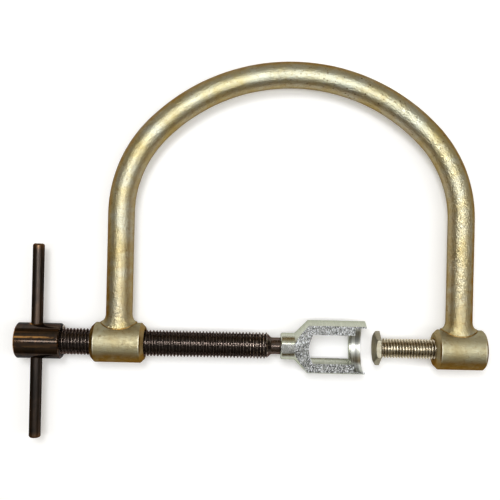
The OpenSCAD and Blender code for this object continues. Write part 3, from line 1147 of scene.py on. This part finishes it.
# The head's nickel is a darker copy of the thread's: painted shade on the head's faces.
head_pale = (0.36, 0.345, 0.28, 1)
head_tan = (0.28, 0.23, 0.15, 1)
head_nickel = nickel("head_nickel", head_pale, head_tan, gloss=0.48, grain=0.00006)
bolt_head.data.materials.append(head_nickel)
deburred(bolt_head, "wear_and_highlight", hex_wear, sharpest=25)
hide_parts("anvil_bolt")
for piece in (bolt_thread, bolt_head):
    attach(piece, "anvil")


# Bench
# A plain board that the tool lies on and throws its shadow on. It is painted a matt white,
# lies loose under the solids' lowest point, and is no part of the object.
bench_gap = 0.0002
bench_z = cad_low.z - bench_gap
bench_reach = 3.0
bench_thick = 0.02
bench_low = (-bench_reach, -bench_reach, bench_z - bench_thick)
bench_high = (bench_reach, bench_reach, bench_z)
bench_glow = 0.16


def bench_board(name):
    """Matt white with the faintest clouds. What the camera, a reflection or a clear piece sees
    of it has a little light of its own, so that it shows white and still takes the shadow."""
    white = (0.9, 0.92, 0.96, 1)
    whiter = (0.91, 0.93, 0.97, 1)
    material, tree, shader, place = new_finish(name)
    cloud = patches(tree, place, 30, 0.3, 0.7)
    feed(tree, shader.inputs["Base Color"], painted(tree, cloud, white, whiter))
    shader.inputs["Roughness"].default_value = 0.9
    shader.inputs["Specular IOR Level"].default_value = 0.1
    shader.inputs["Emission Color"].default_value = (1.0, 1.0, 1.0, 1)
    ray = tree.nodes.new("ShaderNodeLightPath").outputs
    seen = reckon(tree, "MAXIMUM", ray["Is Camera Ray"], ray["Is Glossy Ray"])
    seen = reckon(tree, "MAXIMUM", seen, ray["Is Transmission Ray"])
    feed(tree, shader.inputs["Emission Strength"], reckon(tree, "MULTIPLY", seen, bench_glow))
    return material


bench = block("bench", bench_low, bench_high)
bench.data.materials.append(bench_board("bench_white"))


# Studio
# A strip lamp along the screw and a small square lamp to the upper left, in a room that is
# bright overhead and brown and dim towards the walls. The camera looks straight down.
view_x = -0.0635
view_y = 0.0574
view_height = 0.449
view_roll = math.radians(1.3)
photo_width = 500
focal_pixels = 744
lamp_height = 0.75
strip_x = 0.14
strip_y = 0.02
side_left = 0.06
side_up = 0.17
side_size = 0.18
room_shades = [
    (0.5, (0.75, 0.73, 0.7, 1)),
    (0.515, (0.68, 0.64, 0.58, 1)),
    (0.55, (0.27, 0.135, 0.02, 1)),
    (0.66, (0.36, 0.205, 0.05, 1)),
    (0.78, (0.68, 0.57, 0.36, 1)),
    (0.9, (0.97, 0.95, 0.88, 1)),
]
room = bpy.data.worlds.new("room")
bpy.context.scene.world = room
room.use_nodes = True
room_tree = room.node_tree
sight = axes_of(room_tree, room_tree.nodes.new("ShaderNodeTexCoord").outputs["Generated"])
room_ramp = room_tree.nodes.new("ShaderNodeValToRGB")
room_stops = room_ramp.color_ramp.elements
room_ramp.color_ramp.interpolation = "EASE"
room_stops[0].position, room_stops[0].color = room_shades[0]
room_stops[1].position, room_stops[1].color = room_shades[-1]
for position, shade in room_shades[1:-1]:
    room_stops.new(position).color = shade
room_height = graded(room_tree, sight["Z"], -1.0, 1.0)
feed(room_tree, room_ramp.inputs["Fac"], room_height)
room_light = room_tree.nodes["Background"]
feed(room_tree, room_light.inputs["Color"], room_ramp.outputs["Color"])
room_slant = reckon(room_tree, "MULTIPLY", sight["X"], 0.5)
room_slant = reckon(room_tree, "ADD", room_slant, sight["Y"])
room_side = graded(room_tree, room_slant, -0.6, 0.6, 0.3, 0.62)
feed(room_tree, room_light.inputs["Strength"], room_side)


def soft_lamp(name, place, target, width, depth, power, colour):
    """An oblong soft lamp, aimed from one point at another."""
    lamp = bpy.data.lights.new(name, "AREA")
    lamp.shape = "RECTANGLE"
    lamp.size = width
    lamp.size_y = depth
    lamp.energy = power
    lamp.color = colour
    holder = bpy.data.objects.new(name, lamp)
    holder.location = place
    aim = np.asarray(target, float) - np.asarray(place, float)
    tilt = math.atan2(math.hypot(aim[0], aim[1]), -aim[2])
    heading = math.atan2(aim[1], aim[0]) - math.pi / 2
    holder.rotation_euler = (tilt, 0.0, heading)
    bpy.context.scene.collection.objects.link(holder)


soft_lamp(
    "strip_lamp",
    place=(strip_x, strip_y, lamp_height),
    target=(strip_x, view_y, 0.0),
    width=1.2,
    depth=0.1,
    power=3.2,
    colour=(1.0, 0.99, 0.96),
)
soft_lamp(
    "side_lamp",
    place=(view_x - side_left, view_y + side_up, lamp_height),
    target=(view_x, view_y, 0.0),
    width=side_size,
    depth=side_size,
    power=2.4,
    colour=(1.0, 0.99, 0.97),
)
camera_data = bpy.data.cameras.new("camera")
camera_data.sensor_width = 36.0
camera_data.lens = camera_data.sensor_width * focal_pixels / photo_width
camera_data.clip_start = 0.01
camera = bpy.data.objects.new("camera", camera_data)
camera.location = (view_x, view_y, view_height)
camera.rotation_euler = (0.0, 0.0, view_roll)
bpy.context.scene.collection.objects.link(camera)
bpy.context.scene.camera = camera
bpy.context.scene.view_settings.view_transform = "Standard"
